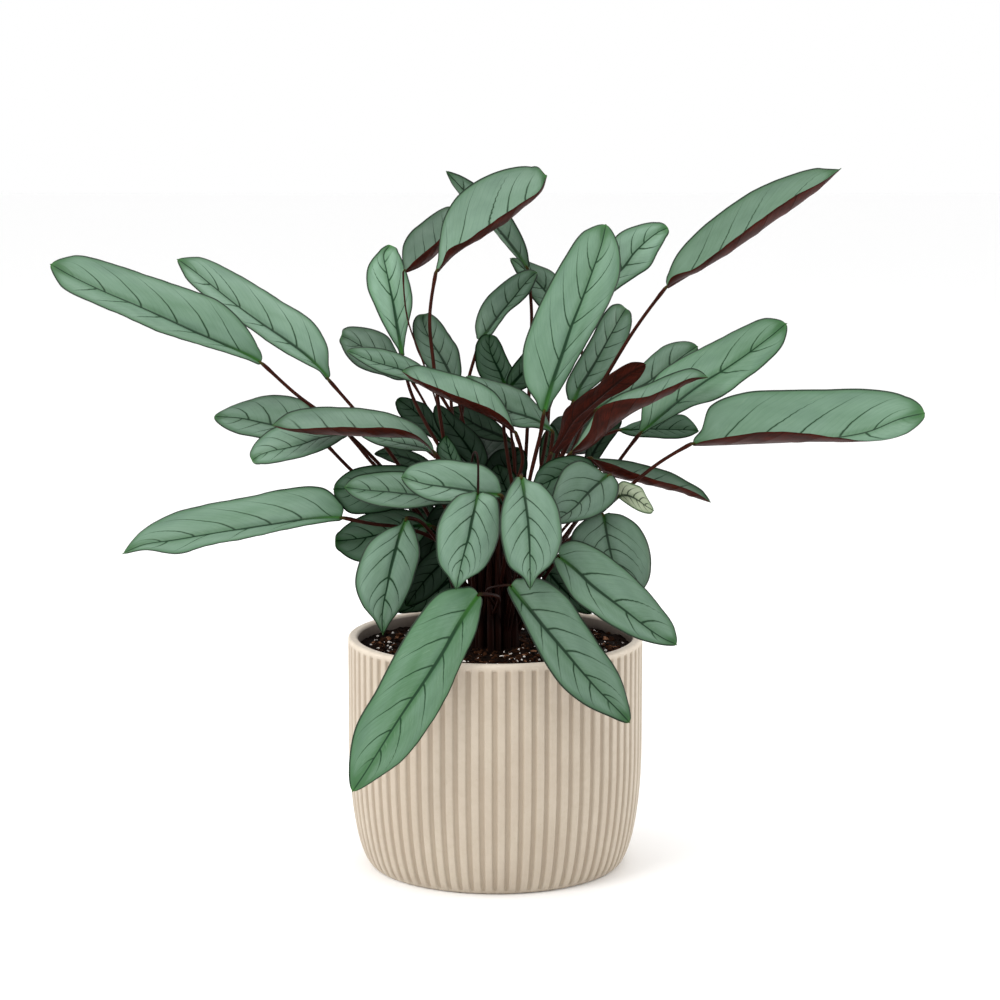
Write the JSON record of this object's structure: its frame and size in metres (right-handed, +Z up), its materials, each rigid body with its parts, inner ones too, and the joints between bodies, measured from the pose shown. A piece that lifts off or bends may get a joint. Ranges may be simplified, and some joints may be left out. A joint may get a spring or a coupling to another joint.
{
  "type": "potted never never plant",
  "caption": "Never never plant with long oval silver-green leaves, dark veins and maroon undersides on thin stalks, in a round ribbed beige ceramic pot filled with soil.",
  "frame": {"origin": "centre of the pot's flat underside, on the ground", "axes": "+Z up along the pot's axis, -Y towards the front of the plant as pictured, +X to the plant's right in the picture"},
  "size_m": [0.5847, 0.3425, 0.4723],
  "materials": {
    "pot": "matte, beige, vertical ribs under a smooth lip",
    "soil": "dark loose potting mix with pale grit",
    "stalk": "dark reddish brown, satin",
    "leaf": "satin silver green with dark green midrib and side veins above, maroon beneath",
    "leaf_pale": "satin, new leaf, pale cream green with dark flecks"
  },
  "bodies": {
    "root": {"leaf_A1": "leaf", "leaf_A2": "leaf", "leaf_C1": "leaf", "leaf_C2": "leaf", "leaf_C3": "leaf", "leaf_C4": "leaf", "leaf_D1": "leaf", "leaf_D2": "leaf", "leaf_D3": "leaf", "leaf_E1": "leaf", "leaf_E2": "leaf", "leaf_E3": "leaf", "leaf_E4": "leaf", "leaf_E6": "leaf", "leaf_E7": "leaf", "leaf_F1": "leaf", "leaf_G1": "leaf", "leaf_G2": "leaf", "leaf_G3": "leaf", "leaf_G4": "leaf_pale", "leaf_G5": "leaf", "leaf_H1": "leaf", "leaf_I1": "leaf", "leaf_I2": "leaf", "leaf_I3": "leaf", "leaf_J1": "leaf", "leaf_K1": "leaf", "leaf_K2": "leaf", "leaf_K3": "leaf", "leaf_K4": "leaf", "leaf_K6": "leaf", "leaf_K7": "leaf", "leaf_K8": "leaf", "leaf_L1": "leaf", "leaf_L2": "leaf", "leaf_M1": "leaf", "leaf_M3": "leaf", "leaf_N1": "leaf", "leaf_N2": "leaf", "leaf_N4": "leaf", "leaf_O1": "leaf", "leaf_O2": "leaf", "leaf_P0": "leaf", "leaf_P1": "leaf", "leaf_P2": "leaf", "leaf_P3": "leaf", "leaf_Q1": "leaf", "leaf_R1": "leaf", "leaf_Z1": "leaf", "leaf_Z2": "leaf", "leaf_Z3": "leaf", "leaf_Z4": "leaf", "leaf_Z5": "leaf", "leaf_Z6": "leaf", "pot": "pot", "shoot_1": "stalk", "shoot_2": "stalk", "shoot_3": "stalk", "shoot_4": "stalk", "soil": "soil"}
  },
  "joints": []
}
